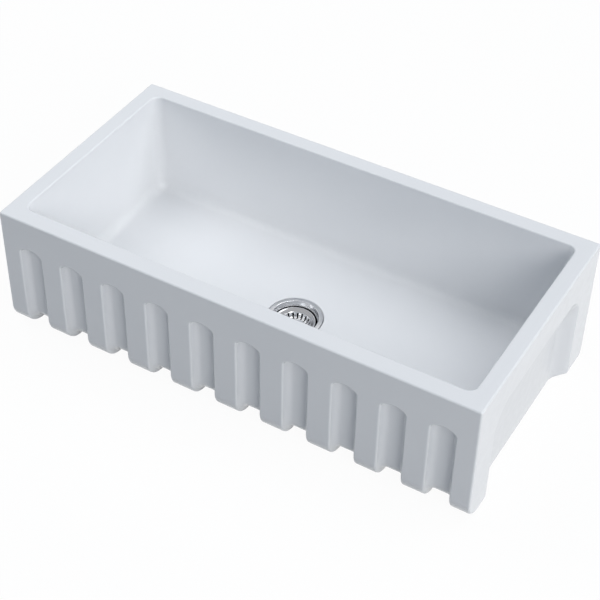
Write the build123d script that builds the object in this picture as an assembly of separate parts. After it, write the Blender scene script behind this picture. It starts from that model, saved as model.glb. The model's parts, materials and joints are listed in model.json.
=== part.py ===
from build123d import *
import os

# Farmhouse apron front sink in fireclay, with a fluted apron and a lift-out basket strainer.
# Millimetres. +X is to the right, +Y to the back, +Z up.
# The origin is the centre of the base, under the drain, and the sink stands on z = 0.

# ---- the fireclay: outside ----
length = 911.0
width = 460.4
height = 254.0
outer_edge_r = 3.5
apron_foot_r = 42.0             # the big rounding under the apron
back_foot_r = 9.0

# ---- the fireclay: basin ----
rim_front = 33.5
rim_back = 30.0
rim_end = 30.5
rim_inner_r = 3.0
end_wall_lean = 8.0             # how far each end wall comes in on its way down
long_wall_lean = 13.0           # the same for the front and back walls
opening_corner_r = 16.0
floor_corner_r = 24.0
floor_cove_r = 20.0
floor_fall = 2.5                # how far the floor falls from its coves to the drain
fall_margin = 1.0               # between the coves and the start of that fall

# ---- the fireclay: underside ----
floor_thickness = 25.0
foot_front = 80.0               # widths of the foot rail around the hollow underside
foot_back = 45.0
foot_end = 58.0
hollow_corner_r = 30.0
hollow_edge_r = 8.0

# ---- the fireclay: flutes ----
flute_width = 44.0
flute_depth = 15.5
flute_side = 0.5                # straight side between the arris and the curve to the flat floor
flute_below_rim = 63.0          # from the rim to the crown of each arch
flute_arch_rise = 12.5
flute_arris_r = 3.5
flute_run_under = 25.0          # how far a flute runs on under the foot
flute_pitch = 89.5
flute_end_pitch = 86.5
flute_end_steps = 2             # how many steps at each end use the end pitch
flute_end_margin = 50.0         # the least from the last flute's axis to the sink's end

# ---- the fireclay: the recess in each end ----
recess_below_rim = 62.5
recess_front_post = 67.0
recess_back_post = 61.0
recess_depth = 21.0
recess_splay = 26.0             # how far its sides come in over that depth
recess_corner_r = 50.0
recess_panel_corner_r = 36.0
recess_cove_r = 32.0

# ---- the fireclay: drain hole ----
drain_hole_r = 45.0
drain_rebate_width = 7.0
drain_rebate_depth = 4.0
drain_rebate_lip_r = 1.2
drain_land_width = 4.0          # the flat land round the rebate, where the fall ends

# ---- the strainer cup ----
flange_clearance = 1.5          # round the flange, in its rebate
flange_thickness = 2.6
flange_proud = 0.3
flange_edge_r = 1.2
seal_hole_clearance = 0.4
neck_clearance = 3.75           # round the neck, in the drain hole
dish_flare = 2.05               # how far the dish opens out over the neck
dish_mouth_edge_r = 0.8
dish_height = 8.0
dish_foot_r = 2.0
flare_wall = 0.5
cup_wall = 1.6
cup_floor_thickness = 3.0
cup_cove_r = 4.0
cup_under_r = 1.2

# ---- the outlet ----
outlet_bore_r = 20.0
outlet_spigot_wall = 2.0
outlet_thread_wall = 3.9        # makes a G 1 1/2 outside thread
outlet_length = 10.0
outlet_end_chamfer = 1.0
outlet_above_base = 2.0         # the sink stands on its foot rail, and the outlet stays clear

# ---- the clamping stack under the floor ----
washer_overlap = 11.0           # of the washers on the floor, round the drain hole
washer_clearance = 0.4
rubber_washer_thickness = 3.0
friction_washer_thickness = 1.0
thread_clearance = 0.05
nut_wall = 8.75
nut_height = 8.0
nut_lug_reach = 7.0
nut_lug_width = 13.0
nut_lug_count = 6

# ---- the stem holder in the outlet, and its clip ----
holder_above_end = 3.0
holder_ring_wall = 2.0
holder_ring_height = 3.0
holder_arm_width = 3.0
holder_arm_count = 3
holder_hub_wall = 3.5
holder_hub_height = 5.5
stem_clearance = 0.4
clip_wire_r = 0.6
clip_clearance = 0.08
clip_height = 3.8
clip_mouth_angle = 70.0

# ---- the lift-out basket ----
closing_travel = 6.0            # from the raised basket to the closed outlet
seat_gap = 0.3
sheet = 0.8                     # pressed stainless sheet
basket_clearance = 2.15         # round the basket's rim, in the cup
basket_rim_below_floor = 9.0
basket_rim_land = 2.9           # flat top of the rolled rim
basket_rim_lip = 2.2            # how far the roll comes down outside
basket_slope_width = 8.0        # from the rim's edge to the top of the slotted wall
basket_slope_below_rim = 4.8
basket_wall_lean = 3.9
basket_floor_bend_r = 3.0
basket_slope_bend_r = 1.5
basket_rim_bend_r = 0.9
slot_count = 20
slot_width = 3.2
slot_below_slope = 0.8
slot_in_floor = 4.6             # how far the slots run in over the floor

# ---- the stack on the basket's stem ----
stem_r = 3.0
stem_fit = 0.05
stem_end_below_seat = 7.0
stem_end_chamfer = 0.8
stopper_overlap = 7.0           # of the stopper on the cup's floor, round the outlet
stopper_thickness = 4.0
stopper_edge_r = 0.8
stopper_washer_clearance = 4.0  # round that washer, which dips into the outlet
stopper_washer_thickness = 1.0
stem_nut_wall = 2.0
stem_nut_height = 2.5
knob_base_wall = 3.0
knob_base_height = 1.5
knob_neck_wall = 0.8
knob_head_wall = 4.5
knob_head_height = 4.3
knob_height = 11.6
knob_roof = 3.0
knob_edge_r = 1.4

# ---- heights worked out from them ----
half_length = length / 2
half_width = width / 2
clamped_height = floor_thickness + rubber_washer_thickness + friction_washer_thickness + nut_height
cup_depth = clamped_height - cup_floor_thickness
basin_depth = height - outlet_above_base - outlet_length - clamped_height
floor_z = height - basin_depth
flat_z = floor_z + floor_fall
slab_z = floor_z - floor_thickness
rebate_z = floor_z - drain_rebate_depth
flange_top_z = floor_z + flange_proud
flange_z = flange_top_z - flange_thickness
dish_z = flange_top_z - dish_height
cup_z = floor_z - cup_depth
cup_under_z = cup_z - cup_floor_thickness
outlet_end_z = cup_under_z - outlet_length
rubber_washer_z = slab_z - rubber_washer_thickness
friction_washer_z = rubber_washer_z - friction_washer_thickness
nut_z = friction_washer_z - nut_height
holder_z = outlet_end_z + holder_above_end
clip_z = holder_z + clip_height
stopper_z = cup_z + seat_gap + closing_travel
basket_z = stopper_z + stopper_thickness
basket_rim_z = floor_z - basket_rim_below_floor
stopper_washer_z = stopper_z - stopper_washer_thickness
stem_nut_z = stopper_washer_z - stem_nut_height
stem_end_z = cup_z - stem_end_below_seat
knob_z = basket_z + sheet

# ---- radii worked out from them, from the drain hole inwards ----
drain_rebate_r = drain_hole_r + drain_rebate_width
drain_land_r = drain_rebate_r + drain_land_width
flange_r = drain_rebate_r - flange_clearance
neck_r = drain_hole_r - neck_clearance          # 3 1/4 inch thread for the lock nut
dish_mouth_r = neck_r + dish_flare
cup_r = neck_r - cup_wall
washer_r = drain_hole_r + washer_overlap
nut_r = neck_r + nut_wall
nut_lug_r = nut_r + nut_lug_reach
basket_rim_r = cup_r - basket_clearance
basket_slope_r = basket_rim_r - basket_slope_width
basket_floor_r = basket_slope_r - basket_wall_lean
slot_inner_r = basket_floor_r - slot_in_floor
outlet_spigot_r = outlet_bore_r + outlet_spigot_wall
outlet_thread_r = outlet_bore_r + outlet_thread_wall
stopper_r = outlet_bore_r + stopper_overlap
stopper_washer_r = outlet_bore_r - stopper_washer_clearance
stem_hole_r = stem_r + stem_fit
clip_ring_r = stem_r + clip_clearance + clip_wire_r
holder_hub_r = stem_r + holder_hub_wall
stem_nut_flats = 2 * (stem_r + stem_nut_wall)
knob_base_r = stem_r + knob_base_wall
knob_neck_r = stem_r + knob_neck_wall
knob_head_r = stem_r + knob_head_wall

# These set no size.
PAST = 10.0                     # how far a cutting tool runs past the face that it opens
SLACK = 0.01                    # how near two places are when they count as the same
SLIVER = 0.1                    # keeps a limit clear of the place beside it


def edges_within(part, low, high):
    """The edges of a part that lie wholly inside a box."""
    found = []
    for edge in part.edges():
        extent = edge.bounding_box()
        above = all(a - SLACK <= b for a, b in zip(low, tuple(extent.min)))
        below = all(a <= b + SLACK for a, b in zip(tuple(extent.max), high))
        if above and below:
            found.append(edge)
    return found


def disc(radius, low_z, high_z):
    standing = (Align.CENTER, Align.CENTER, Align.MIN)
    return Pos(0, 0, low_z) * Cylinder(radius, high_z - low_z, align=standing)


def ring(outer_r, inner_r, low_z, high_z):
    return disc(outer_r, low_z, high_z) - disc(inner_r, low_z, high_z)


def circles(part, radius, z):
    """The circular edges of one radius at one height, round the drain's axis."""
    level = edges_within(part, (-radius, -radius, z), (radius, radius, z))
    return [edge for edge in level if edge.bounding_box().size.X > 2 * radius - SLIVER]


def rounded_rectangle(z, low_x, high_x, low_y, high_y, corner_r):
    middle = Pos((low_x + high_x) / 2, (low_y + high_y) / 2, z)
    return middle * RectangleRounded(high_x - low_x, high_y - low_y, corner_r)


# ---------------------------------------------------------------- the fireclay body
def recess_tool():
    """The arched hollow in the right end: open at the bottom, with splayed, coved sides."""
    top_z = height - recess_below_rim
    front_y = -half_width + recess_front_post
    back_y = half_width - recess_back_post
    foot_z = -2 * PAST

    def outline(depth):
        share = depth / recess_depth
        inset = recess_splay * share
        corner_r = recess_corner_r + (recess_panel_corner_r - recess_corner_r) * share
        x = half_length - depth
        low, high, top = front_y + inset, back_y - inset, top_z - inset
        start, end = (x, low, foot_z), (x, high, foot_z)
        arch = FilletPolyline(start, (x, low, top), (x, high, top), end, radius=corner_r)
        return make_face([*arch.edges(), Line(end, start)])

    tool = loft([outline(-PAST), outline(recess_depth)], ruled=True)
    panel_x = half_length - recess_depth
    panel_edges = edges_within(tool, (panel_x, -width, foot_z), (panel_x, width, height))
    arch_edges = [edge for edge in panel_edges if edge.center().Z > foot_z + SLIVER]
    return fillet(arch_edges, recess_cove_r)


def outer_block():
    """The block with its feet rounded, its ends recessed and its outer edges eased."""
    block = Pos(0, 0, height / 2) * Box(length, width, height)
    front_foot = edges_within(block, (-length, -half_width, 0), (length, -half_width, 0))
    block = fillet(front_foot, apron_foot_r)
    back_foot = edges_within(block, (-length, half_width, 0), (length, half_width, 0))
    block = fillet(back_foot, back_foot_r)
    right_recess = recess_tool()
    block = block - right_recess - mirror(right_recess, about=Plane.YZ)
    eased = []
    for y in (-half_width, half_width):
        eased += edges_within(block, (-length, y, height), (length, y, height))
    for side in (-1, 1):
        face_x = side * half_length
        panel_x = side * (half_length - recess_depth)
        low_x, high_x = sorted((face_x, panel_x))
        eased += edges_within(block, (face_x, -width, 0), (face_x, width, height))
        foot = edges_within(block, (low_x, -width, 0), (high_x, width, 0))
        eased += [edge for edge in foot if edge.bounding_box().min.X != edge.bounding_box().max.X]
        eased += [edge for edge in foot if abs(edge.center().X - panel_x) < SLACK]
    return fillet(eased, outer_edge_r)


def cut_basin(body):
    low_x, high_x = -half_length + rim_end, half_length - rim_end
    low_y, high_y = -half_width + rim_front, half_width - rim_back
    floor_low_x, floor_high_x = low_x + end_wall_lean, high_x - end_wall_lean
    floor_low_y, floor_high_y = low_y + long_wall_lean, high_y - long_wall_lean
    mouth = rounded_rectangle(height, low_x, high_x, low_y, high_y, opening_corner_r)
    floor = rounded_rectangle(flat_z, floor_low_x, floor_high_x, floor_low_y, floor_high_y, floor_corner_r)
    basin = loft([floor.face(), mouth.face()], ruled=True)
    floor_edges = edges_within(basin, (-length, -width, flat_z), (length, width, flat_z))
    body = body - fillet(floor_edges, floor_cove_r) - extrude(mouth, PAST)
    mouth_edges = edges_within(body, (low_x, low_y, height), (high_x, high_y, height))
    return fillet(mouth_edges, rim_inner_r)


def cut_fall(body):
    """The floor's slight fall, from inside its coves down to the land round the drain."""
    inset = floor_cove_r + fall_margin
    high_x = half_length - rim_end - end_wall_lean - inset
    low_y = -half_width + rim_front + long_wall_lean + inset
    high_y = half_width - rim_back - long_wall_lean - inset
    edge = rounded_rectangle(flat_z, -high_x, high_x, low_y, high_y, floor_corner_r)
    square = 2 * drain_land_r
    middle = Pos(0, 0, floor_z) * RectangleRounded(square, square, drain_land_r - SLIVER)
    return body - loft([middle.face(), edge.face()], ruled=True)


def cut_underside(body):
    """The hollow under the floor, which leaves a foot rail all round."""
    low_x, high_x = -half_length + foot_end, half_length - foot_end
    low_y, high_y = -half_width + foot_front, half_width - foot_back
    outline = rounded_rectangle(-PAST, low_x, high_x, low_y, high_y, hollow_corner_r)
    hollow = extrude(outline, slab_z + PAST)
    ceiling = edges_within(hollow, (-length, -width, slab_z), (length, width, slab_z))
    body = body - fillet(ceiling, hollow_edge_r)
    mouth = edges_within(body, (low_x, low_y, 0), (high_x, high_y, 0))
    return fillet(mouth, outer_edge_r)


def flute_places():
    """The X positions of the flutes on both sides of the middle, as many as the length takes."""
    inner_end = half_length - flute_end_margin - flute_end_steps * flute_end_pitch
    inner_count = int(inner_end / flute_pitch + 0.5)
    places = [flute_pitch * (index + 0.5) for index in range(inner_count)]
    places += [places[-1] + flute_end_pitch * step for step in range(1, flute_end_steps + 1)]
    return [-x for x in reversed(places)] + places


def flute_tools():
    """A flat-floored groove down the apron and on under its foot, and the pan that ends it."""
    face_y = -half_width
    under_y = face_y + apron_foot_r
    half = flute_width / 2
    corner_r = flute_depth - flute_arris_r - flute_side
    shoulder_z = height - flute_below_rim - flute_arch_rise

    section = RectangleRounded(flute_width, 2 * flute_depth, corner_r)
    above_foot = Pos(0, face_y, apron_foot_r) * section
    below_foot = Pos(0, under_y, 0) * Rot(-90, 0, 0) * section
    groove = extrude(above_foot, shoulder_z - apron_foot_r)
    groove += revolve(above_foot, Axis((0, under_y, apron_foot_r), (1, 0, 0)), 90)
    groove += extrude(below_foot, flute_run_under)

    side = Polyline((0, -PAST), (half, -PAST), (half, flute_depth), (0, flute_depth), close=True)
    pan = revolve(make_face(side), Axis.Y)
    floor_edge = [edge for edge in pan.edges() if abs(edge.bounding_box().min.Y - flute_depth) < SLACK]
    pan = scale(fillet(floor_edge, corner_r), by=(1, 1, flute_arch_rise / half))
    return groove, Pos(0, face_y, shoulder_z) * pan


def cut_flutes(body):
    groove, pan = flute_tools()
    half = flute_width / 2
    for x in flute_places():
        body = body - Pos(x, 0, 0) * groove - Pos(x, 0, 0) * pan
        low = (x - half, -half_width, 0)
        high = (x + half, -half_width + apron_foot_r, height)
        outline = edges_within(body, low, high)
        arris = [edge for edge in outline if edge.bounding_box().size.Z > SLIVER
                 and abs(edge.bounding_box().min.Y + half_width) < SLACK]
        body = fillet(arris, flute_arris_r)
    return body


def cut_drain(body):
    body = body - disc(drain_hole_r, -PAST, height) - disc(drain_rebate_r, rebate_z, height)
    return fillet(circles(body, drain_rebate_r, floor_z), drain_rebate_lip_r)


def sink_body():
    body = cut_basin(outer_block())
    body = cut_fall(body)
    body = cut_underside(body)
    body = cut_flutes(body)
    return cut_drain(body)


# ---------------------------------------------------------------- the strainer's fixed pieces
def strainer_body():
    """The pressed cup: flange, bright dish, threaded neck and floor."""
    outline = Polyline(
        (flange_r, flange_z),
        (flange_r, flange_top_z),
        (dish_mouth_r, flange_top_z),
        (cup_r, dish_z),
        (cup_r, cup_z),
        (outlet_spigot_r, cup_z),
        (outlet_spigot_r, cup_under_z),
        (neck_r, cup_under_z),
        (neck_r, dish_z),
        (dish_mouth_r + flare_wall, flange_z),
        close=True,
    )
    cup = revolve(Plane.XZ * make_face(outline), Axis.Z)
    cup = fillet(circles(cup, flange_r, flange_top_z), flange_edge_r)
    cup = fillet(circles(cup, dish_mouth_r, flange_top_z), dish_mouth_edge_r)
    cup = fillet(circles(cup, cup_r, dish_z), dish_foot_r)
    cup = fillet(circles(cup, cup_r, cup_z), cup_cove_r)
    return fillet(circles(cup, neck_r, cup_under_z), cup_under_r)


def flange_seal():
    return ring(flange_r, drain_hole_r + seal_hole_clearance, rebate_z, flange_z)


def rubber_washer():
    return ring(washer_r, neck_r + washer_clearance, rubber_washer_z, slab_z)


def friction_washer():
    return ring(washer_r, neck_r + washer_clearance, friction_washer_z, rubber_washer_z)


def lock_nut():
    """The ring nut that pulls the cup down on the floor, with lugs for a spanner."""
    nut = disc(nut_r, nut_z, friction_washer_z)
    middle_z = nut_z + nut_height / 2
    for index in range(nut_lug_count):
        turn = 360.0 * index / nut_lug_count
        lug = Pos(nut_lug_r / 2, 0, middle_z) * Box(nut_lug_r, nut_lug_width, nut_height)
        nut += Rot(0, 0, turn) * lug
    nut = nut & disc(nut_lug_r, nut_z, friction_washer_z)
    return nut - disc(neck_r + thread_clearance, nut_z, friction_washer_z)


def outlet_nipple():
    """The threaded outlet, with the spigot that is swaged into the cup's floor."""
    thread = disc(outlet_thread_r, outlet_end_z, cup_under_z)
    thread = chamfer(circles(thread, outlet_thread_r, outlet_end_z), outlet_end_chamfer)
    spigot = disc(outlet_spigot_r, cup_under_z, cup_z)
    return thread + spigot - disc(outlet_bore_r, outlet_end_z, cup_z)


def stem_holder():
    """The spider across the outlet, whose hub guides the basket's stem."""
    top_z = holder_z + holder_ring_height
    hub_top_z = holder_z + holder_hub_height
    arm_length = outlet_bore_r - holder_ring_wall / 2
    holder = ring(outlet_bore_r, outlet_bore_r - holder_ring_wall, holder_z, top_z)
    for index in range(holder_arm_count):
        turn = 90.0 + 360.0 * index / holder_arm_count
        arm = Pos(arm_length / 2, 0, holder_z + holder_ring_height / 2)
        arm = arm * Box(arm_length, holder_arm_width, holder_ring_height)
        holder += Rot(0, 0, turn) * arm
    holder += disc(holder_hub_r, holder_z, hub_top_z)
    groove_r = clip_ring_r + clip_wire_r
    holder -= disc(stem_r + stem_clearance, holder_z, hub_top_z)
    return holder - disc(groove_r, clip_z - clip_wire_r, clip_z + clip_wire_r)


def stem_clip():
    """The spring ring in the hub, open at the front, that grips the stem and holds the basket up."""
    wire = Plane.XZ * Pos(clip_ring_r, clip_z) * Circle(clip_wire_r)
    loop = revolve(wire, Axis.Z, revolution_arc=360.0 - clip_mouth_angle)
    return Rot(0, 0, clip_mouth_angle / 2 - 90.0) * loop


# ---------------------------------------------------------------- the basket
def basket_cup():
    """The pressed basket: rolled rim, sloping band, slotted wall and flat floor."""
    slope_z = basket_rim_z - basket_slope_below_rim
    half = sheet / 2
    rim_out = basket_rim_r - half
    run = FilletPolyline(
        (stem_hole_r, basket_z + half),
        (basket_floor_r - half, basket_z + half),
        (basket_slope_r - half, slope_z),
        (rim_out - basket_rim_land, basket_rim_z - half),
        (rim_out, basket_rim_z - half),
        (rim_out, basket_rim_z - half - basket_rim_lip),
        radius=[basket_floor_bend_r, basket_slope_bend_r, basket_slope_bend_r, basket_rim_bend_r],
    )
    cup = revolve(Plane.XZ * trace(run, sheet), Axis.Z)
    return cup - slot_tools()


def slot_tools():
    """The radial slots, round-ended, up the wall and in over the floor."""
    slope_z = basket_rim_z - basket_slope_below_rim
    outer_r = basket_slope_r + sheet
    top_z = slope_z - slot_below_slope - slot_width / 2
    inner_r = slot_inner_r + slot_width / 2
    low_z = basket_z - sheet
    run = Pos((inner_r + outer_r) / 2, 0, (low_z + top_z) / 2)
    slot = run * Box(outer_r - inner_r, slot_width, top_z - low_z)
    crown = Pos((inner_r + outer_r) / 2, 0, top_z) * Rot(0, 90, 0)
    slot += crown * Cylinder(slot_width / 2, outer_r - inner_r)
    slot += Pos(inner_r, 0, 0) * disc(slot_width / 2, low_z, basket_z + 2 * sheet)
    return [Rot(0, 0, 360.0 * index / slot_count) * slot for index in range(slot_count)]


def basket_stopper():
    """The rubber disc that closes the outlet when the basket is pushed down."""
    rubber = disc(stopper_r, stopper_z, basket_z)
    rubber = fillet(circles(rubber, stopper_r, stopper_z), stopper_edge_r)
    return rubber - disc(stem_hole_r, stopper_z, basket_z)


def stopper_washer():
    return ring(stopper_washer_r, stem_hole_r, stopper_washer_z, stopper_z)


def basket_stem():
    stem = disc(stem_r, stem_end_z, knob_z + knob_height - knob_roof)
    return chamfer(circles(stem, stem_r, stem_end_z), stem_end_chamfer)


def stem_nut():
    hexagon = RegularPolygon(stem_nut_flats / 2, 6, major_radius=False)
    nut = extrude(Pos(0, 0, stem_nut_z) * hexagon, stem_nut_height)
    return nut - disc(stem_hole_r, stem_nut_z, stopper_washer_z)


def basket_knob():
    """The pull: a foot that clamps the basket's floor, a neck and a round head."""
    top_z = knob_z + knob_height
    head_z = top_z - knob_head_height
    head = disc(knob_head_r, head_z, top_z)
    head = fillet(circles(head, knob_head_r, top_z) + circles(head, knob_head_r, head_z), knob_edge_r)
    neck = disc(knob_neck_r, knob_z, top_z - knob_edge_r)
    foot = disc(knob_base_r, knob_z, knob_z + knob_base_height)
    return head + neck + foot - disc(stem_hole_r, knob_z, top_z - knob_roof + stem_fit)


PIECES = {
    "sink_body": sink_body,
    "strainer_body": strainer_body,
    "flange_seal": flange_seal,
    "rubber_washer": rubber_washer,
    "friction_washer": friction_washer,
    "lock_nut": lock_nut,
    "outlet_nipple": outlet_nipple,
    "stem_holder": stem_holder,
    "stem_clip": stem_clip,
    "basket_cup": basket_cup,
    "basket_stopper": basket_stopper,
    "stopper_washer": stopper_washer,
    "basket_stem": basket_stem,
    "stem_nut": stem_nut,
    "basket_knob": basket_knob,
}

os.makedirs("parts", exist_ok=True)
for name, make in PIECES.items():
    export_step(make(), f"parts/{name}.step")
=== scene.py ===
import json
import math

import bpy
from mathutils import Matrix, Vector

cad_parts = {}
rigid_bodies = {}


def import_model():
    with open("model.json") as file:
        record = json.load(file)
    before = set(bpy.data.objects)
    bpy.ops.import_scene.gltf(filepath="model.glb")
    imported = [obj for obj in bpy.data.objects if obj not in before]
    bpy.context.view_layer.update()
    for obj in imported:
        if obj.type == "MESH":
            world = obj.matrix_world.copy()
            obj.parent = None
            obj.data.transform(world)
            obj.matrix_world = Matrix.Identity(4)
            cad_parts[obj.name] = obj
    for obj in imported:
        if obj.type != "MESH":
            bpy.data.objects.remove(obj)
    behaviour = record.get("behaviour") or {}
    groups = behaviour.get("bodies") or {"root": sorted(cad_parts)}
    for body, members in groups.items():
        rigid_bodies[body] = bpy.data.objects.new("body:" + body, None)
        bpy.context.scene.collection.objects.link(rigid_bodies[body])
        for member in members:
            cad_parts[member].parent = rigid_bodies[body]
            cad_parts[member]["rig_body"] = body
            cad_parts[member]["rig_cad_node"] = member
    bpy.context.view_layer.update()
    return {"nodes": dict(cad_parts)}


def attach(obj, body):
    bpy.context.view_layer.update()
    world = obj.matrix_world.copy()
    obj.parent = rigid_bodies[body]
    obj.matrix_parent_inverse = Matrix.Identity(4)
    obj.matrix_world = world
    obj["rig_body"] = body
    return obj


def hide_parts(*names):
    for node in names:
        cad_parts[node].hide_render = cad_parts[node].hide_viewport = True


# A fluted fireclay apron sink, its stainless drain and the basket that lifts out of it.
# Sizes of pieces are in millimetres, in the same frame as the sink's own model.
MM = 0.001

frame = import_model()
bpy.ops.object.select_all(action="DESELECT")


# ---------------------------------------------------------------- shaping by hand
def edit(piece):
    bpy.ops.object.select_all(action="DESELECT")
    bpy.context.view_layer.objects.active = piece
    piece.select_set(True)
    bpy.ops.object.mode_set(mode="EDIT")


def done():
    bpy.ops.object.mode_set(mode="OBJECT")


def close_seams():
    """Merges doubled vertices and turns every face outwards."""
    bpy.ops.mesh.select_all(action="SELECT")
    bpy.ops.mesh.remove_doubles(threshold=0.0005 * MM)
    bpy.ops.mesh.normals_make_consistent(inside=False)


def pull_ring(points, radius, z):
    """Extrudes the selected ring of edges through the next (radius, height) points."""
    for next_radius, next_z in points:
        rise = (next_z - z) * MM
        bpy.ops.mesh.extrude_edges_move(TRANSFORM_OT_translate={"value": (0, 0, rise)})
        if next_radius != radius:
            share = next_radius / radius
            middle = (0, 0, next_z * MM)
            bpy.ops.transform.resize(value=(share, share, 1), center_override=middle)
        radius, z = next_radius, next_z


def turned(name, profile, steps=96):
    """A turned piece round the drain's axis, from (radius, height) points.

    A profile that starts and ends on the axis is solid. Any other one is a closed loop.
    """
    solid = profile[0][0] == 0
    path = profile[1:] if solid else profile + profile[:1]
    radius, z = path[0]
    bpy.ops.object.select_all(action="DESELECT")
    bpy.ops.mesh.primitive_circle_add(
        vertices=steps,
        radius=radius * MM,
        fill_type="TRIFAN" if solid else "NOTHING",
        location=(0, 0, z * MM),
    )
    piece = bpy.context.object
    piece.name = name
    bpy.ops.object.transform_apply(location=True)
    edit(piece)
    bpy.ops.mesh.select_mode(type="VERT")
    bpy.ops.mesh.select_all(action="DESELECT")
    bpy.ops.mesh.select_non_manifold()
    pull_ring(path[1:], radius, z)
    close_seams()
    done()
    return piece


def ease(piece, width, segments=3, angle=35.0):
    """Rounds every sharp edge of a piece."""
    edit(piece)
    bpy.ops.mesh.select_mode(type="EDGE")
    bpy.ops.mesh.select_all(action="DESELECT")
    bpy.ops.mesh.edges_select_sharp(sharpness=math.radians(angle))
    bpy.ops.mesh.bevel(offset=width * MM, segments=segments, affect="EDGES", clamp_overlap=True)
    bpy.ops.mesh.select_mode(type="VERT")
    done()


def apply(piece, kind, **settings):
    """Adds one modifier to a piece and applies it."""
    bpy.ops.object.select_all(action="DESELECT")
    bpy.context.view_layer.objects.active = piece
    piece.select_set(True)
    bpy.ops.object.modifier_add(type=kind)
    added = piece.modifiers[-1]
    for key, value in settings.items():
        setattr(added, key, value)
    bpy.ops.object.modifier_apply(modifier=added.name)


def smooth(piece, angle=30.0):
    """Smooth shading with sharp creases, and normals that keep flat faces flat."""
    bpy.ops.object.select_all(action="DESELECT")
    bpy.context.view_layer.objects.active = piece
    piece.select_set(True)
    bpy.ops.object.shade_smooth_by_angle(angle=math.radians(angle))
    apply(piece, "WEIGHTED_NORMAL", keep_sharp=True, weight=80)


def pick_faces(piece, wanted):
    """Selects the faces that a test on centre and normal takes, in a piece in edit mode."""
    bpy.ops.mesh.select_mode(type="FACE")
    bpy.ops.mesh.select_all(action="DESELECT")
    done()
    for face in piece.data.polygons:
        face.select = bool(wanted(face.center / MM, face.normal))
    edit(piece)


def finish_piece(piece, material, node, body):
    """Gives a piece its finish, its body and the node that it stands for."""
    piece.data.materials.clear()
    piece.data.materials.append(material)
    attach(piece, body)
    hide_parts(node)


# ---------------------------------------------------------------- finishes
def new_group(name, inputs, outputs):
    """An empty shader group with named sockets, and its input and output nodes."""
    group = bpy.data.node_groups.new(name, "ShaderNodeTree")
    for socket, kind, value in inputs:
        made = group.interface.new_socket(socket, in_out="INPUT", socket_type=kind)
        if value is not None:
            made.default_value = value
    for socket, kind in outputs:
        group.interface.new_socket(socket, in_out="OUTPUT", socket_type=kind)
    given = group.nodes.new("NodeGroupInput").outputs
    out = group.nodes.new("NodeGroupOutput").inputs
    return group, given, out


# How fast turning marks follow each other up a wall, against their spacing on a flat face.
RINGS_RISE = 1.37

COLOR = "NodeSocketColor"
FLOAT = "NodeSocketFloat"
VECTOR = "NodeSocketVector"


def noise(tree, place, scale, detail=2.0, roughness=0.5, dimensions="3D"):
    node = tree.nodes.new("ShaderNodeTexNoise")
    node.noise_dimensions = dimensions
    node.inputs["Scale"].default_value = scale
    node.inputs["Detail"].default_value = detail
    node.inputs["Roughness"].default_value = roughness
    tree.links.new(place, node.inputs["W" if dimensions == "1D" else "Vector"])
    return node.outputs["Fac"]


def spread(tree, value, low, high, to_low=0.0, to_high=1.0):
    """Maps a value from one range to another, clamped."""
    node = tree.nodes.new("ShaderNodeMapRange")
    node.inputs["From Min"].default_value = low
    node.inputs["From Max"].default_value = high
    node.inputs["To Min"].default_value = to_low
    node.inputs["To Max"].default_value = to_high
    tree.links.new(value, node.inputs["Value"])
    return node.outputs["Result"]


def math_node(tree, operation, first, second):
    node = tree.nodes.new("ShaderNodeMath")
    node.operation = operation
    for socket, value in zip(node.inputs, (first, second)):
        if isinstance(value, (int, float)):
            socket.default_value = value
        else:
            tree.links.new(value, socket)
    return node.outputs[0]


def mix_color(tree, share, first, second):
    node = tree.nodes.new("ShaderNodeMix")
    node.data_type = "RGBA"
    for socket, value in zip((node.inputs[0], node.inputs[6], node.inputs[7]), (share, first, second)):
        if isinstance(value, (int, float, tuple)):
            socket.default_value = value
        else:
            tree.links.new(value, socket)
    return node.outputs[2]


def mix_value(tree, share, first, second):
    node = tree.nodes.new("ShaderNodeMix")
    for socket, value in ((0, share), (2, first), (3, second)):
        tree.links.new(value, node.inputs[socket])
    return node.outputs[0]


def split(tree, place):
    """The X, Y and Z of a point."""
    parts = tree.nodes.new("ShaderNodeSeparateXYZ")
    tree.links.new(place, parts.inputs[0])
    return [parts.outputs[axis] for axis in "XYZ"]


def radius_of(tree, place):
    """The distance of a point from the drain's axis."""
    x, y = split(tree, place)[:2]
    flat = tree.nodes.new("ShaderNodeCombineXYZ")
    tree.links.new(x, flat.inputs["X"])
    tree.links.new(y, flat.inputs["Y"])
    length = tree.nodes.new("ShaderNodeVectorMath")
    length.operation = "LENGTH"
    tree.links.new(flat.outputs[0], length.inputs[0])
    return length.outputs["Value"]


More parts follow.
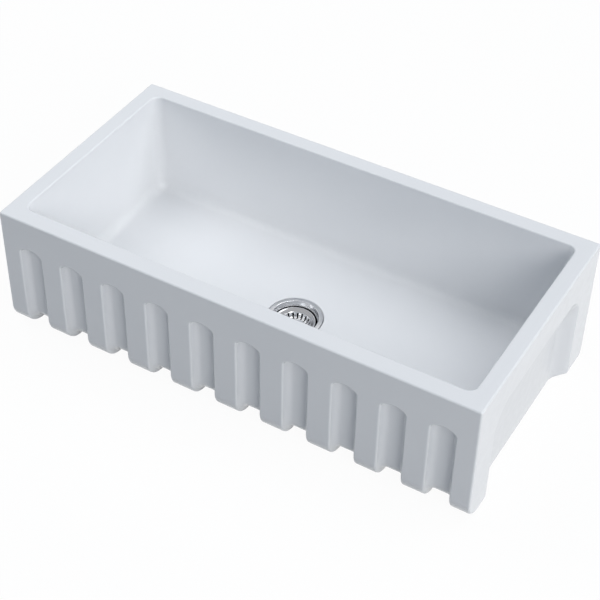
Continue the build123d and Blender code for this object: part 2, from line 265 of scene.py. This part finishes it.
def make_glaze_group():
    """Fired glaze: soft clouds, a faint orange peel and a rare iron speck."""
    group, given, out = new_group(
        "fired_glaze",
        [
            ("Place", VECTOR, None),
            ("Color", COLOR, (0.8, 0.8, 0.8, 1)),
            ("Thick Color", COLOR, (0.8, 0.8, 0.8, 1)),
            ("Speck Color", COLOR, (0.5, 0.45, 0.4, 1)),
            ("Roughness", FLOAT, 0.2),
        ],
        [("Color", COLOR), ("Roughness", FLOAT), ("Height", FLOAT)],
    )
    place = given["Place"]
    cloud = spread(group, noise(group, place, 5.0, 3.0), 0.35, 0.68)
    body = mix_color(group, cloud, given["Color"], given["Thick Color"])
    cells = group.nodes.new("ShaderNodeTexVoronoi")
    cells.inputs["Scale"].default_value = 38.0
    group.links.new(place, cells.inputs["Vector"])
    dot = spread(group, cells.outputs["Distance"], 0.012, 0.02, 1.0, 0.0)
    rare = spread(group, noise(group, place, 21.0, 0.0), 0.64, 0.68)
    speck = math_node(group, "MULTIPLY", math_node(group, "MULTIPLY", dot, rare), 0.5)
    group.links.new(mix_color(group, speck, body, given["Speck Color"]), out["Color"])
    wear = spread(group, noise(group, place, 60.0, 4.0), 0.3, 0.7, -0.03, 0.05)
    group.links.new(math_node(group, "ADD", given["Roughness"], wear), out["Roughness"])
    slow = noise(group, place, 28.0, 1.0)
    fine = math_node(group, "MULTIPLY", noise(group, place, 210.0, 1.0), 0.03)
    group.links.new(math_node(group, "ADD", slow, fine), out["Height"])
    return group


def make_clay_group():
    """Unglazed, ground clay: buff, with grog grains, pores and grinding tracks."""
    group, given, out = new_group(
        "ground_clay",
        [
            ("Place", VECTOR, None),
            ("Color", COLOR, (0.7, 0.65, 0.58, 1)),
            ("Grog Color", COLOR, (0.5, 0.42, 0.34, 1)),
        ],
        [("Color", COLOR), ("Roughness", FLOAT), ("Height", FLOAT)],
    )
    place = given["Place"]
    grains = group.nodes.new("ShaderNodeTexVoronoi")
    grains.inputs["Scale"].default_value = 420.0
    group.links.new(place, grains.inputs["Vector"])
    grog = spread(group, grains.outputs["Distance"], 0.1, 0.3, 0.75, 0.0)
    pick = spread(group, noise(group, place, 160.0, 2.0), 0.5, 0.62)
    mask = math_node(group, "MULTIPLY", grog, pick)
    tone = mix_color(group, spread(group, noise(group, place, 9.0, 4.0), 0.3, 0.7, 0.0, 0.35),
                     given["Color"], given["Grog Color"])
    group.links.new(mix_color(group, mask, tone, given["Grog Color"]), out["Color"])
    group.links.new(spread(group, noise(group, place, 300.0, 3.0), 0.3, 0.7, 0.72, 0.92), out["Roughness"])
    group.links.new(math_node(group, "SUBTRACT", noise(group, place, 700.0, 4.0), mask), out["Height"])
    return group


def make_turning_group():
    """Marks of polishing on a turning piece: fine rings round the axis, and faint smears."""
    group, given, out = new_group(
        "turning_marks",
        [
            ("Place", VECTOR, None),
            ("Color", COLOR, (0.6, 0.6, 0.6, 1)),
            ("Worn Color", COLOR, (0.5, 0.5, 0.5, 1)),
            ("Roughness", FLOAT, 0.2),
            ("Roughness Spread", FLOAT, 0.1),
            ("Rings Per Metre", FLOAT, 2500.0),
        ],
        [("Color", COLOR), ("Roughness", FLOAT), ("Height", FLOAT)],
    )
    place = given["Place"]
    height = math_node(group, "MULTIPLY", split(group, place)[2], RINGS_RISE)
    along = math_node(group, "ADD", radius_of(group, place), height)
    rings = noise(group, math_node(group, "MULTIPLY", along, given["Rings Per Metre"]), 1.0, 3.0, 0.6, "1D")
    smear = noise(group, place, 85.0, 3.0)
    share = spread(group, smear, 0.4, 0.7, 0.0, 0.5)
    group.links.new(mix_color(group, share, given["Color"], given["Worn Color"]), out["Color"])
    swing = given["Roughness Spread"]
    change = math_node(group, "MULTIPLY", spread(group, rings, 0.3, 0.7, -0.5, 0.5), swing)
    smeared = math_node(group, "MULTIPLY", spread(group, smear, 0.3, 0.7, -0.4, 0.4), swing)
    total = math_node(group, "ADD", given["Roughness"], math_node(group, "ADD", change, smeared))
    group.links.new(math_node(group, "MAXIMUM", total, 0.04), out["Roughness"])
    group.links.new(rings, out["Height"])
    return group


def make_moulding_group():
    """Moulded rubber, fibre or plastic: a matt bloom, dust and a fine grain."""
    group, given, out = new_group(
        "moulded_skin",
        [
            ("Place", VECTOR, None),
            ("Color", COLOR, (0.1, 0.1, 0.1, 1)),
            ("Bloom Color", COLOR, (0.2, 0.2, 0.2, 1)),
            ("Grain Scale", FLOAT, 900.0),
            ("Roughness", FLOAT, 0.6),
        ],
        [("Color", COLOR), ("Roughness", FLOAT), ("Height", FLOAT)],
    )
    place = given["Place"]
    bloom = spread(group, noise(group, place, 110.0, 4.0), 0.42, 0.72, 0.0, 0.8)
    group.links.new(mix_color(group, bloom, given["Color"], given["Bloom Color"]), out["Color"])
    scaled = group.nodes.new("ShaderNodeVectorMath")
    scaled.operation = "SCALE"
    group.links.new(place, scaled.inputs[0])
    group.links.new(given["Grain Scale"], scaled.inputs["Scale"])
    grain = noise(group, scaled.outputs[0], 1.0, 3.0)
    change = spread(group, grain, 0.3, 0.7, -0.08, 0.1)
    group.links.new(math_node(group, "ADD", given["Roughness"], change), out["Roughness"])
    group.links.new(grain, out["Height"])
    return group


def new_material(name):
    material = bpy.data.materials.new(name)
    material.use_nodes = True
    tree = material.node_tree
    place = tree.nodes.new("ShaderNodeTexCoord").outputs["Object"]
    return material, tree, tree.nodes["Principled BSDF"], place


def put_group(tree, group, place, **values):
    node = tree.nodes.new("ShaderNodeGroup")
    node.node_tree = group
    tree.links.new(place, node.inputs["Place"])
    for key, value in values.items():
        node.inputs[key.replace("_", " ")].default_value = value
    return node.outputs


def raise_bump(tree, shader, height, strength, distance):
    bump = tree.nodes.new("ShaderNodeBump")
    bump.inputs["Strength"].default_value = strength
    bump.inputs["Distance"].default_value = distance * MM
    tree.links.new(height, bump.inputs["Height"])
    tree.links.new(bump.outputs[0], shader.inputs["Normal"])


def grouped_material(name, group, metallic, strength, distance, painted_zone=None, **values):
    """A material whose colour, roughness and relief come from one group.

    painted_zone is a zone on a turned piece, (inner radius, outer radius, bottom, top, colour), or None,
    whose colour is painted light: the painted shade inside the strainer's cup, and the painted reflection
    and shade on the basket's sloping band.
    """
    material, tree, shader, place = new_material(name)
    parts = put_group(tree, group, place, **values)
    color = parts["Color"]
    if painted_zone:
        # The zone's colour is painted light, laid over the piece's own colour.
        *zone, tone = painted_zone
        color = mix_color(tree, painted_zone_mask(tree, place, *zone), color, tone)
    tree.links.new(color, shader.inputs["Base Color"])
    tree.links.new(parts["Roughness"], shader.inputs["Roughness"])
    shader.inputs["Metallic"].default_value = metallic
    raise_bump(tree, shader, parts["Height"], strength, distance)
    return material


def painted_zone_mask(tree, place, inner, outer, bottom, top):
    """1 inside a ring-shaped zone round the drain's axis, in millimetres, with soft edges, where a painted
    colour goes.
    """
    soft = 0.3
    height = split(tree, place)[2]
    mask = None
    for value, low, high in ((radius_of(tree, place), inner, outer), (height, bottom, top)):
        from_low = spread(tree, value, (low - soft) * MM, (low + soft) * MM)
        to_high = spread(tree, value, (high - soft) * MM, (high + soft) * MM, 1.0, 0.0)
        both = math_node(tree, "MULTIPLY", from_low, to_high)
        mask = math_node(tree, "MULTIPLY", mask, both) if mask else both
    return mask


def unglazed_mask(tree, place):
    """1 on the ground foot and in the hollow under the floor, and 0 on the glaze."""
    foot_height, wobble_height = 0.7 * MM, 0.4 * MM
    hollow_half_length, hollow_half_width, hollow_height = 399.5 * MM, 169.5 * MM, 24.5 * MM
    hollow_middle_y = 17.5 * MM
    x, y, z = split(tree, place)
    wobble = spread(tree, noise(tree, place, 40.0, 3.0), 0.3, 0.7, -wobble_height, wobble_height)
    foot = math_node(tree, "LESS_THAN", math_node(tree, "ADD", z, wobble), foot_height)
    across = math_node(tree, "LESS_THAN", math_node(tree, "ABSOLUTE", x, 0), hollow_half_length)
    middle = math_node(tree, "ABSOLUTE", math_node(tree, "SUBTRACT", y, hollow_middle_y), 0)
    along = math_node(tree, "LESS_THAN", middle, hollow_half_width)
    under = math_node(tree, "LESS_THAN", z, hollow_height)
    hollow = math_node(tree, "MULTIPLY", math_node(tree, "MULTIPLY", across, along), under)
    return math_node(tree, "MAXIMUM", foot, hollow)


def recess_shade_mask(tree, place):
    """1 on the set-back floor of the recess in each end, where a painted shade darkens the glaze."""
    panel_x, shade_start_x, end_face_x = 432.0 * MM, 449.0 * MM, 454.5 * MM
    reach_y, reach_z = 190.0 * MM, 220.0 * MM
    x, y, z = split(tree, place)
    out = math_node(tree, "ABSOLUTE", x, 0)
    set_back = spread(tree, out, shade_start_x, end_face_x, 1.0, 0.0)
    outside = math_node(tree, "GREATER_THAN", out, panel_x)
    across = math_node(tree, "LESS_THAN", math_node(tree, "ABSOLUTE", y, 0), reach_y)
    below = math_node(tree, "LESS_THAN", z, reach_z)
    inside = math_node(tree, "MULTIPLY", across, below)
    return math_node(tree, "MULTIPLY", math_node(tree, "MULTIPLY", set_back, outside), inside)


def make_fireclay(glaze_group, clay_group):
    material, tree, shader, place = new_material("fireclay_glaze")
    glaze = put_group(
        tree, glaze_group, place,
        Color=(0.843, 0.85, 0.86, 1),
        Thick_Color=(0.828, 0.836, 0.848, 1),
        Speck_Color=(0.52, 0.48, 0.42, 1),
        Roughness=0.2,
    )
    clay = put_group(
        tree, clay_group, place,
        Color=(0.72, 0.67, 0.6, 1),
        Grog_Color=(0.5, 0.42, 0.34, 1),
    )
    mask = unglazed_mask(tree, place)
    # Painted shade: the recess floor is painted a darker colour, in place of the shade that falls inside the
    # recess.
    glaze_with_painted_shade = mix_color(tree, recess_shade_mask(tree, place), glaze["Color"], (0.79, 0.798, 0.81, 1))
    tree.links.new(mix_color(tree, mask, glaze_with_painted_shade, clay["Color"]), shader.inputs["Base Color"])
    rough = mix_value(tree, mask, glaze["Roughness"], clay["Roughness"])
    tree.links.new(rough, shader.inputs["Roughness"])
    height = mix_value(tree, mask, glaze["Height"], clay["Height"])
    raise_bump(tree, shader, height, 0.05, 0.5)
    return material


# ---------------------------------------------------------------- the fireclay body
def make_fireclay_body(material):
    cast = frame["nodes"]["sink_body"]
    body = cast.copy()
    body.data = cast.data.copy()
    body.name = "fireclay_body"
    body.parent = None
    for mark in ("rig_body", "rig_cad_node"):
        if mark in body:
            del body[mark]
    bpy.context.scene.collection.objects.link(body)
    edit(body)
    bpy.ops.mesh.select_all(action="SELECT")
    bpy.ops.mesh.remove_doubles(threshold=0.001 * MM)
    done()
    smooth(body, 32.0)
    finish_piece(body, material, "sink_body", "sink")


# ---------------------------------------------------------------- the strainer's fixed pieces
def make_strainer_cup(material):
    """Flange, dished mouth, cup wall, floor and the neck that the nut screws on."""
    profile = [
        (22.0, 15.0),
        (35.6, 15.0),
        (38.4, 16.2),
        (39.65, 19.0),
        (39.65, 39.6),
        (39.9, 41.2),
        (40.6, 43.0),
        (42.6, 47.6),
        (43.2, 49.0),
        (43.7, 49.3),
        (49.0, 49.3),
        (50.1, 48.9),
        (50.5, 48.1),
        (50.5, 46.7),
        (44.4, 46.7),
        (43.7, 46.4),
        (41.25, 41.3),
        (41.25, 13.0),
        (40.3, 12.0),
        (22.0, 12.0),
    ]
    cup = turned("strainer_cup", profile, 128)
    ease(cup, 0.25, 2, 25.0)
    smooth(cup)
    finish_piece(cup, material, "strainer_body", "sink")


def make_flange_seal(material):
    seal = turned("flange_seal_ring", [(45.4, 45.0), (45.4, 46.7), (50.5, 46.7), (50.5, 45.0)])
    ease(seal, 0.4)
    smooth(seal)
    finish_piece(seal, material, "flange_seal", "sink")


def make_rubber_washer(material):
    profile = [(41.65, 21.0), (41.65, 24.0), (55.2, 24.0), (56.0, 22.9), (56.0, 22.1), (55.2, 21.0)]
    washer = turned("floor_washer", profile)
    ease(washer, 0.4)
    smooth(washer)
    finish_piece(washer, material, "rubber_washer", "sink")


def make_friction_washer(material):
    washer = turned("slip_washer", [(41.65, 20.0), (41.65, 21.0), (56.0, 21.0), (56.0, 20.0)])
    ease(washer, 0.15, 2)
    smooth(washer)
    finish_piece(washer, material, "friction_washer", "sink")


def make_lock_nut(material):
    """A cast ring nut with six lugs and a chamfered bore, whose thread isn't modelled."""
    profile = [(41.3, 13.0), (41.3, 19.0), (42.3, 20.0), (50.0, 20.0), (50.0, 12.0), (42.3, 12.0)]
    nut = turned("ring_nut", profile, 72)
    edit(nut)

    lug_pitch, lug_half_turn = 60.0, 6.0
    ring_r, lug_r = 50.0, 57.0

    def on_lug(centre, normal):
        turn = math.degrees(math.atan2(centre.y, centre.x)) % lug_pitch
        outside = math.hypot(centre.x, centre.y) > ring_r - 0.5
        return outside and abs(normal.z) < 0.1 and min(turn, lug_pitch - turn) < lug_half_turn

    pick_faces(nut, on_lug)
    bpy.ops.mesh.extrude_region_move()
    outer = lug_r / ring_r
    bpy.ops.transform.resize(value=(outer, outer, 1), center_override=(0, 0, 16 * MM))
    done()
    ease(nut, 0.7)
    smooth(nut)
    finish_piece(nut, material, "lock_nut", "sink")


def make_outlet_nipple(material):
    """The outlet tube, with the turns of its thread and a swaged spigot."""
    pitch = 2.309
    profile = [(20.0, 2.4), (20.0, 15.0), (22.0, 15.0), (22.0, 12.0), (23.2, 12.0)]
    crest = 11.2
    while crest > 3.6:
        profile += [(22.6, crest + 0.45), (23.9, crest - 0.1), (23.9, crest - 0.4), (22.6, crest - 0.95)]
        crest -= pitch
    profile += [(22.6, 2.6), (22.0, 2.0), (20.4, 2.0)]
    nipple = turned("outlet_tube", profile)
    ease(nipple, 0.12, 2)
    smooth(nipple)
    finish_piece(nipple, material, "outlet_nipple", "sink")


def make_stem_holder(material):
    """The moulded spider in the outlet: a ring, three arms and a hub."""
    spider = turned("stem_spider", [(18.0, 5.0), (18.0, 8.0), (20.0, 8.0), (20.0, 5.0)])
    hub = turned(
        "spider_hub",
        [(3.4, 5.0), (3.4, 8.1), (4.35, 8.2), (4.35, 9.4), (3.4, 9.5), (3.4, 10.5), (6.5, 10.5), (6.5, 5.0)],
        64,
    )
    apply(spider, "BOOLEAN", operation="UNION", solver="EXACT", object=hub)
    bpy.data.objects.remove(hub)
    for turn in (90.0, 210.0, 330.0):
        bpy.ops.object.select_all(action="DESELECT")
        bpy.ops.mesh.primitive_cube_add(size=1, location=(12 * MM, 0, 6.5 * MM))
        arm = bpy.context.object
        arm.scale = (13 * MM, 3 * MM, 3 * MM)
        bpy.ops.object.transform_apply(location=True, scale=True)
        arm.rotation_euler = (0, 0, math.radians(turn))
        bpy.ops.object.transform_apply(rotation=True)
        ease(arm, 0.5)
        apply(spider, "BOOLEAN", operation="UNION", solver="EXACT", object=arm)
        bpy.data.objects.remove(arm)
    smooth(spider)
    finish_piece(spider, material, "stem_holder", "sink")


def make_stem_clip(material):
    """The spring wire in the hub, open at the front, with rounded ends."""
    bpy.ops.object.select_all(action="DESELECT")
    bpy.ops.mesh.primitive_circle_add(
        vertices=20, radius=0.6 * MM, fill_type="TRIFAN",
        location=(3.68 * MM, 0, 8.8 * MM), rotation=(math.radians(90), 0, 0),
    )
    clip = bpy.context.object
    clip.name = "spring_ring"
    bpy.ops.object.transform_apply(location=True, rotation=True)
    edit(clip)
    bpy.ops.mesh.select_all(action="SELECT")
    bpy.ops.mesh.spin(
        steps=60, angle=math.radians(290), center=(0, 0, 8.8 * MM), axis=(0, 0, 1), dupli=False
    )
    close_seams()
    done()
    ease(clip, 0.2, 3, 60.0)
    clip.rotation_euler = (0, 0, math.radians(-55))
    bpy.ops.object.transform_apply(rotation=True)
    smooth(clip)
    finish_piece(clip, material, "stem_clip", "sink")


# ---------------------------------------------------------------- the lift-out basket
def make_basket(material):
    """Pressed sheet: rolled rim, sloping band, slotted wall and a stepped floor."""
    steps = 120
    profile = [
        (8.0, 25.7),
        (12.0, 25.7),
        (17.0, 25.7),
        (21.0, 25.7),
        (23.4, 25.9),
        (24.6, 26.7),
        (25.35, 28.2),
        (26.4, 30.4),
        (27.5, 32.6),
        (28.4, 34.3),
        (29.3, 35.3),
        (30.6, 36.3),
        (32.6, 38.0),
        (33.9, 39.2),
        (34.6, 39.6),
        (36.2, 39.6),
        (36.9, 39.3),
        (37.1, 38.6),
        (37.1, 37.1),
    ]
    radius, z = 3.45, 25.7
    bpy.ops.object.select_all(action="DESELECT")
    bpy.ops.mesh.primitive_circle_add(vertices=steps, radius=radius * MM, location=(0, 0, z * MM))
    basket = bpy.context.object
    basket.name = "slotted_basket"
    bpy.ops.object.transform_apply(location=True)
    edit(basket)
    bpy.ops.mesh.select_mode(type="VERT")
    bpy.ops.mesh.select_all(action="SELECT")
    pull_ring(profile, radius, z)
    bpy.ops.mesh.select_all(action="SELECT")
    bpy.ops.mesh.normals_make_consistent(inside=False)

    slot_pitch, slot_turn, slot_inner_r, slot_top_z = 18.0, 6.0, 21.0, 34.4

    def in_slot(centre, normal):
        turn = (math.degrees(math.atan2(centre.y, centre.x)) + slot_turn / 2) % slot_pitch
        out = math.hypot(centre.x, centre.y)
        return turn < slot_turn and out > slot_inner_r and centre.z < slot_top_z

    pick_faces(basket, in_slot)
    bpy.ops.mesh.delete(type="FACE")
    done()
    apply(basket, "SOLIDIFY", thickness=0.8 * MM, offset=0.0, use_even_offset=True)
    apply(basket, "SUBSURF", levels=1, render_levels=1)
    smooth(basket, 60.0)
    finish_piece(basket, material, "basket_cup", "basket")


def make_stopper(material):
    """The rubber disc with a sealing bead under its edge."""
    profile = [
        (3.05, 21.3), (15.0, 21.3), (16.6, 21.7), (21.5, 21.7), (22.6, 21.3), (24.2, 21.3),
        (25.6, 22.0), (26.7, 22.6), (27.0, 23.4), (27.0, 24.6), (26.3, 25.3), (3.05, 25.3),
    ]
    stopper = turned("rubber_stopper", profile)
    ease(stopper, 0.3)
    smooth(stopper)
    finish_piece(stopper, material, "basket_stopper", "basket")


def make_stopper_washer(material):
    washer = turned("backing_washer", [(3.05, 20.3), (3.05, 21.3), (16.0, 21.3), (16.0, 20.3)])
    ease(washer, 0.25)
    smooth(washer)
    finish_piece(washer, material, "stopper_washer", "basket")


def make_stem(material):
    """The rod: two detents for the clip, and the turns of a thread under its nut."""
    profile = [(0, 8.0), (2.2, 8.0), (2.95, 8.6), (2.75, 8.8), (2.95, 9.0), (3.0, 9.1), (3.0, 13.8)]
    profile += [(3.0, 14.4), (2.75, 14.8), (3.0, 15.2)]
    crest = 15.9
    while crest < 20.2:
        profile += [(2.7, crest), (3.0, crest + 0.4)]
        crest += 0.8
    profile += [(3.0, 34.6), (0, 34.6)]
    stem = turned("basket_rod", profile, 48)
    ease(stem, 0.08, 2)
    smooth(stem)
    finish_piece(stem, material, "basket_stem", "basket")


def make_stem_nut(material):
    """A hexagon nut with its corners turned off at both ends."""
    half_flats, bore_r = 5.0, 3.05
    tool_low, tool_high = 17.0, 21.0
    corner = half_flats / math.cos(math.radians(30))
    hexagon = turned("hexagon", [(0, tool_low), (corner, tool_low), (corner, tool_high), (0, tool_high)], 6)
    bore = turned("bore", [(0, tool_low), (bore_r, tool_low), (bore_r, tool_high), (0, tool_high)], 48)
    profile = [(0, 17.8), (4.9, 17.8), (5.9, 18.3), (5.9, 19.8), (4.9, 20.3), (0, 20.3)]
    nut = turned("stem_hexagon", profile)
    for tool, operation in ((hexagon, "INTERSECT"), (bore, "DIFFERENCE")):
        apply(nut, "BOOLEAN", operation=operation, solver="EXACT", object=tool)
        bpy.data.objects.remove(tool)
    smooth(nut)
    finish_piece(nut, material, "stem_nut", "basket")


def make_knob(material):
    """The pull: a foot on the basket's floor, a waisted neck and a domed head."""
    profile = [
        (0, 26.1), (6.0, 26.1), (6.0, 27.2), (5.6, 27.6), (4.4, 28.0), (3.9, 28.8), (3.8, 30.4),
        (3.9, 32.2), (4.6, 33.2), (6.3, 33.5), (7.2, 34.1), (7.5, 35.0), (7.5, 36.0), (7.1, 36.9),
        (6.2, 37.4), (4.6, 37.65), (2.0, 37.7), (0, 37.7),
    ]
    knob = turned("basket_pull", profile, 64)
    ease(knob, 0.15, 2)
    smooth(knob, 40.0)
    finish_piece(knob, material, "basket_knob", "basket")


# ---------------------------------------------------------------- floor, light and camera
def white_rays(tree):
    """1 for the rays that show the plain white background: camera, glossy and transmission."""
    rays = tree.nodes.new("ShaderNodeLightPath").outputs
    seen = math_node(tree, "MAXIMUM", rays["Is Camera Ray"], rays["Is Glossy Ray"])
    return math_node(tree, "MAXIMUM", seen, rays["Is Transmission Ray"])


def blend_shaders(tree, share, first, second, target):
    blend = tree.nodes.new("ShaderNodeMixShader")
    tree.links.new(share, blend.inputs[0])
    tree.links.new(first, blend.inputs[1])
    tree.links.new(second, blend.inputs[2])
    tree.links.new(blend.outputs[0], target)


def make_floor():
    """A pale studio floor that looks white to the camera and keeps the sink's shadow."""
    bpy.ops.object.select_all(action="DESELECT")
    bpy.ops.mesh.primitive_plane_add(size=40)
    floor = bpy.context.object
    floor.name = "studio_floor"
    material, tree, shader, place = new_material("studio_white")
    seen = white_rays(tree)
    tone = mix_color(tree, seen, (0.5, 0.5, 0.5, 1), (0.95, 0.95, 0.95, 1))
    tree.links.new(tone, shader.inputs["Base Color"])
    shader.inputs["Roughness"].default_value = 0.9
    shader.inputs["Specular IOR Level"].default_value = 0.0
    glow = tree.nodes.new("ShaderNodeEmission")
    glow_share = 0.95
    share = math_node(tree, "MULTIPLY", seen, glow_share)
    surface = tree.nodes["Material Output"].inputs["Surface"]
    blend_shaders(tree, share, shader.outputs[0], glow.outputs[0], surface)
    floor.data.materials.append(material)


def make_world(color, strength):
    world = bpy.data.worlds.new("studio")
    bpy.context.scene.world = world
    world.use_nodes = True
    tree = world.node_tree
    soft = tree.nodes["Background"]
    soft.inputs["Color"].default_value = color
    soft.inputs["Strength"].default_value = strength
    white = tree.nodes.new("ShaderNodeBackground")
    white.inputs["Color"].default_value = (1, 1, 1, 1)
    surface = tree.nodes["World Output"].inputs["Surface"]
    blend_shaders(tree, white_rays(tree), soft.outputs[0], white.outputs[0], surface)


def add_softbox(name, turn, rise, distance, watts):
    """A large round lamp that faces the sink.

    turn is in degrees from +X towards +Y, and rise is in degrees above the floor.
    """
    away = Vector((math.cos(math.radians(turn)), math.sin(math.radians(turn)), 0))
    away = away * math.cos(math.radians(rise)) + Vector((0, 0, math.sin(math.radians(rise))))
    bpy.ops.object.light_add(type="AREA", location=away * distance)
    lamp = bpy.context.object
    lamp.name = name
    lamp.data.shape = "DISK"
    lamp.data.size = 0.56 * distance
    lamp.data.energy = watts
    lamp.rotation_euler = (-away).to_track_quat("-Z", "Y").to_euler()
    return lamp


def make_camera():
    """The photograph's own view, from the front right and above."""
    camera = bpy.data.cameras.new("photograph_view")
    camera.lens = 91.86
    camera.shift_x = 0.0644
    camera.shift_y = -0.0048
    camera.clip_end = 60.0
    seat = bpy.data.objects.new("photograph_view", camera)
    seat.location = (0.99850, -1.74013, 1.89279)
    seat.rotation_euler = (math.radians(90 - 41.8498), 0, math.radians(31.5414))
    bpy.context.scene.collection.objects.link(seat)
    bpy.context.scene.camera = seat


# ---------------------------------------------------------------- put together
glaze_group = make_glaze_group()
clay_group = make_clay_group()
turning_group = make_turning_group()
moulding_group = make_moulding_group()

fireclay = make_fireclay(glaze_group, clay_group)
polished = grouped_material(
    "polished_steel", turning_group, 1.0, 0.05, 0.05,
    Color=(0.68, 0.69, 0.71, 1), Worn_Color=(0.6, 0.61, 0.63, 1),
    Roughness=0.2, Roughness_Spread=0.06, Rings_Per_Metre=1400.0,
    # Painted shade: the inside of the cup is painted nearly black, in place of the shade under the basket.
    painted_zone=(15.0, 39.8, 14.8, 39.4, (0.06, 0.06, 0.065, 1)),
)
mirror_bright = grouped_material(
    "bright_pressed_steel", turning_group, 1.0, 0.04, 0.05,
    Color=(0.74, 0.75, 0.77, 1), Worn_Color=(0.66, 0.67, 0.69, 1),
    Roughness=0.12, Roughness_Spread=0.05, Rings_Per_Metre=1800.0,
    # Painted reflection and painted shade: the basket's sloping band is painted a darker grey.
    painted_zone=(28.8, 35.5, 34.6, 41.0, (0.36, 0.365, 0.38, 1)),
)
plain_steel = grouped_material(
    "machined_steel", turning_group, 1.0, 0.2, 0.05,
    Color=(0.58, 0.59, 0.6, 1), Worn_Color=(0.48, 0.48, 0.49, 1),
    Roughness=0.32, Roughness_Spread=0.16, Rings_Per_Metre=3200.0,
)
brass = grouped_material(
    "cast_brass", moulding_group, 1.0, 0.25, 0.12,
    Color=(0.71, 0.55, 0.29, 1), Bloom_Color=(0.55, 0.42, 0.23, 1),
    Grain_Scale=1400.0, Roughness=0.42,
)
black_rubber = grouped_material(
    "black_rubber_skin", moulding_group, 0.0, 0.2, 0.08,
    Color=(0.022, 0.022, 0.024, 1), Bloom_Color=(0.06, 0.06, 0.062, 1),
    Grain_Scale=1600.0, Roughness=0.62,
)
grey_rubber = grouped_material(
    "grey_rubber_skin", moulding_group, 0.0, 0.2, 0.08,
    Color=(0.12, 0.12, 0.125, 1), Bloom_Color=(0.2, 0.2, 0.205, 1),
    Grain_Scale=1600.0, Roughness=0.7,
)
fibre = grouped_material(
    "red_fibre_skin", moulding_group, 0.0, 0.3, 0.1,
    Color=(0.36, 0.085, 0.06, 1), Bloom_Color=(0.46, 0.17, 0.12, 1),
    Grain_Scale=800.0, Roughness=0.78,
)
nylon = grouped_material(
    "moulded_nylon", moulding_group, 0.0, 0.1, 0.05,
    Color=(0.74, 0.735, 0.7, 1), Bloom_Color=(0.68, 0.67, 0.63, 1),
    Grain_Scale=700.0, Roughness=0.42,
)

make_fireclay_body(fireclay)
make_strainer_cup(polished)
make_flange_seal(grey_rubber)
make_rubber_washer(black_rubber)
make_friction_washer(fibre)
make_lock_nut(brass)
make_outlet_nipple(plain_steel)
make_stem_holder(nylon)
make_stem_clip(plain_steel)
make_basket(mirror_bright)
make_stopper(black_rubber)
make_stopper_washer(plain_steel)
make_stem(plain_steel)
make_stem_nut(plain_steel)
make_knob(mirror_bright)

make_floor()
make_world((0.3, 0.6, 1.0, 1), 0.12)
add_softbox("right_window", 0, 14, 8.0, 138.0)
add_softbox("front_right_panel", 322, 33, 8.0, 262.0)
add_softbox("left_overhead", 180, 58, 3.6, 42.0).visible_glossy = False
add_softbox("back_right_overhead", 45, 60, 8.0, 208.0)
make_camera()
bpy.context.scene.view_settings.view_transform = "Standard"
